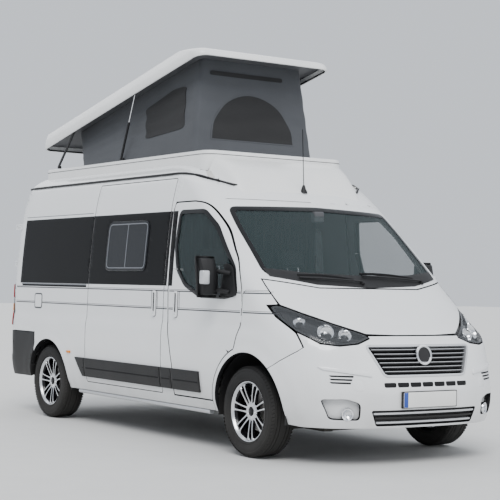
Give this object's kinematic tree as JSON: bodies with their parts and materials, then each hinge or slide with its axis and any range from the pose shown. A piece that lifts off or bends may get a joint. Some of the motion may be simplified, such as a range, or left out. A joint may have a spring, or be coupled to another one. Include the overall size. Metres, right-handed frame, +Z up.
{
  "type": "camper van",
  "caption": "High-roof panel-van camper with opening cab and rear doors, bonnet, steering wheels and a lifting roof with fabric bellows.",
  "frame": {"origin": "on the ground below the middle of the vehicle's length and width", "axes": "+X to the vehicle's left side, +Y to its rear, +Z up"},
  "size_m": [2.444, 5.413, 3.3903],
  "materials": {
    "body_white": "gloss",
    "white_shell": "gloss",
    "chassis_black": "satin",
    "black_plastic": "matte",
    "window_acrylic": "gloss",
    "clear_glass": "gloss",
    "lamp_clear": "gloss",
    "lamp_red": "gloss",
    "cast_block": "rough",
    "steel_tube": "satin",
    "tank_plastic": "matte",
    "trim_grey": "matte",
    "seat_cloth": "woven",
    "furniture": "satin",
    "mattress_cloth": "woven",
    "tyre_rubber": "matte",
    "rim_alloy": "machined",
    "bellows_cloth": "woven",
    "strut_black": "gloss",
    "rod_chrome": "polished",
    "floor_steel": "satin"
  },
  "bodies": {
    "root": {"floor_pan": "floor_steel", "underframe": "chassis_black", "left_side_wall": "body_white", "right_side_wall": "body_white", "sliding_door": "body_white", "side_windows": "window_acrylic", "cab_frame": "body_white", "roof_skin": "body_white", "roof_plinth": "white_shell", "front_wings": "body_white", "front_bumper": "body_white", "grille": "black_plastic", "headlamps": "lamp_clear", "windscreen": "clear_glass", "wipers": "black_plastic", "rear_bumper": "black_plastic", "tail_lamps": "lamp_red", "engine": "cast_block", "rear_axle": "chassis_black", "exhaust": "steel_tube", "fuel_tank": "tank_plastic", "dashboard": "trim_grey", "cab_seats": "seat_cloth", "living_units": "furniture", "rear_mattress": "mattress_cloth", "antenna": "black_plastic", "roof_bellows": "bellows_cloth"},
    "steer_left": {"knuckle_left": "chassis_black"},
    "steer_right": {"knuckle_right": "chassis_black"},
    "wheel_front_left": {"tyre_front_left": "tyre_rubber", "rim_front_left": "rim_alloy"},
    "wheel_front_right": {"tyre_front_right": "tyre_rubber", "rim_front_right": "rim_alloy"},
    "wheel_rear_left": {"tyre_rear_left": "tyre_rubber", "rim_rear_left": "rim_alloy"},
    "wheel_rear_right": {"tyre_rear_right": "tyre_rubber", "rim_rear_right": "rim_alloy"},
    "steering": {"steering_wheel": "black_plastic"},
    "door_left": {"front_door_left": "body_white", "door_glass_left": "clear_glass", "mirror_left": "black_plastic"},
    "door_right": {"front_door_right": "body_white", "door_glass_right": "clear_glass", "mirror_right": "black_plastic"},
    "rear_leaf_left": {"rear_door_left": "body_white", "rear_window_left": "window_acrylic"},
    "rear_leaf_right": {"rear_door_right": "body_white", "rear_window_right": "window_acrylic"},
    "hood": {"bonnet": "body_white"},
    "roof_arms": {"lift_arms": "strut_black"},
    "roof_shell": {"pop_roof": "white_shell"},
    "strut_cylinders": {"strut_tubes": "strut_black"},
    "strut_pistons": {"strut_rods": "rod_chrome"}
  },
  "joints": [
    {"name": "left_steer", "type": "hinge", "parent": "root", "child": "steer_left", "pos_m": [0.84, -1.7585, 0.353], "axis": [0, 0, 1], "range_deg": [-35, 35]},
    {"name": "right_steer", "type": "hinge", "parent": "root", "child": "steer_right", "pos_m": [-0.84, -1.7585, 0.353], "axis": [0, 0, 1], "range_deg": [-36, 36]},
    {"name": "steering_wheel_turn", "type": "hinge", "parent": "root", "child": "steering", "pos_m": [0.4, -1.1985, 1.19], "axis": [0, 0.7431, 0.6691], "range_deg": [-550, 550]},
    {"name": "front_left_spin", "type": "hinge", "parent": "steer_left", "child": "wheel_front_left", "pos_m": [0.905, -1.7585, 0.353], "axis": [1, 0, 0], "continuous": true},
    {"name": "front_right_spin", "type": "hinge", "parent": "steer_right", "child": "wheel_front_right", "pos_m": [-0.905, -1.7585, 0.353], "axis": [1, 0, 0], "continuous": true},
    {"name": "rear_left_spin", "type": "hinge", "parent": "root", "child": "wheel_rear_left", "pos_m": [0.905, 1.6915, 0.353], "axis": [1, 0, 0], "continuous": true},
    {"name": "rear_right_spin", "type": "hinge", "parent": "root", "child": "wheel_rear_right", "pos_m": [-0.905, 1.6915, 0.353], "axis": [1, 0, 0], "continuous": true},
    {"name": "left_door_hinge", "type": "hinge", "parent": "root", "child": "door_left", "pos_m": [1.019, -1.6635, 1], "axis": [0, 0, -1], "range_deg": [0, 70]},
    {"name": "right_door_hinge", "type": "hinge", "parent": "root", "child": "door_right", "pos_m": [-1.019, -1.6635, 1], "axis": [0, 0, 1], "range_deg": [0, 70]},
    {"name": "left_rear_leaf_hinge", "type": "hinge", "parent": "root", "child": "rear_leaf_left", "pos_m": [0.93, 2.6965, 1.2], "axis": [0, 0, -1], "range_deg": [0, 180]},
    {"name": "right_rear_leaf_hinge", "type": "hinge", "parent": "root", "child": "rear_leaf_right", "pos_m": [-0.93, 2.6965, 1.2], "axis": [0, 0, 1], "range_deg": [0, 180]},
    {"name": "bonnet_hinge", "type": "hinge", "parent": "root", "child": "hood", "pos_m": [0, -1.7885, 1.385], "axis": [-1, 0, 0], "range_deg": [0, 50]},
    {"name": "roof_arm_swing", "type": "hinge", "parent": "root", "child": "roof_arms", "pos_m": [0, 2.2415, 2.494], "axis": [1, 0, 0], "range_deg": [0, 43], "deforming": ["roof_bellows"]},
    {"name": "roof_shell_tilt", "type": "hinge", "parent": "roof_arms", "child": "roof_shell", "pos_m": [0, 1.87663, 2.85887], "axis": [-1, 0, 0], "range_deg": [0, 31.9]},
    {"name": "strut_swing", "type": "hinge", "parent": "root", "child": "strut_cylinders", "pos_m": [0, 0.9345, 2.494], "axis": [1, 0, 0], "range_deg": [0, 67.33]},
    {"name": "strut_stroke", "type": "slide", "parent": "strut_cylinders", "child": "strut_pistons", "axis": [0, 0.3847, -0.923], "range_m": [0, 0.22575]}
  ],
  "couplings": [
    {"joint": "right_steer", "follows": "left_steer", "ratio": 1},
    {"joint": "steering_wheel_turn", "follows": "left_steer", "ratio": 15.429},
    {"joint": "roof_shell_tilt", "follows": "roof_arm_swing", "ratio": 0.73023},
    {"joint": "strut_swing", "follows": "roof_arm_swing", "ratio": 1.5542},
    {"joint": "strut_stroke", "follows": "roof_arm_swing", "m_per_rad": 0.29814}
  ]
}
